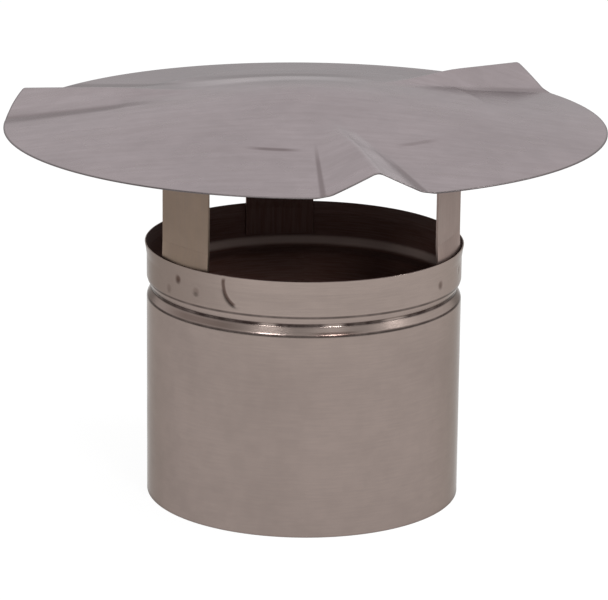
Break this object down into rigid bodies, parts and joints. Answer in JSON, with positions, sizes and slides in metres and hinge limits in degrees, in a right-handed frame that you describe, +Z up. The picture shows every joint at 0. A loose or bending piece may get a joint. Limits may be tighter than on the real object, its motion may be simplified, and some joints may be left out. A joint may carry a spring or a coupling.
{
  "type": "chimney cap",
  "caption": "Stainless rain cap for a round flue: a rolled socket tube with an inward groove, strap legs and a shallow cone cover folded with radial pleats.",
  "frame": {"origin": "centre of the flue tube's bottom edge, where the cap stands and the flue pipe enters", "axes": "+Z up along the flue; -Y is the side shown in the picture; a leg stands at the back, left and right"},
  "size_m": [0.284, 0.284, 0.1995],
  "materials": {
    "stainless_sheet": "satin rolled stainless sheet",
    "stainless_strap": "satin stainless strap, spot welded"
  },
  "bodies": {
    "root": {"flue_tube": "stainless_sheet", "leg_back": "stainless_strap", "leg_left": "stainless_strap", "leg_right": "stainless_strap", "rain_cover": "stainless_sheet"}
  },
  "joints": []
}
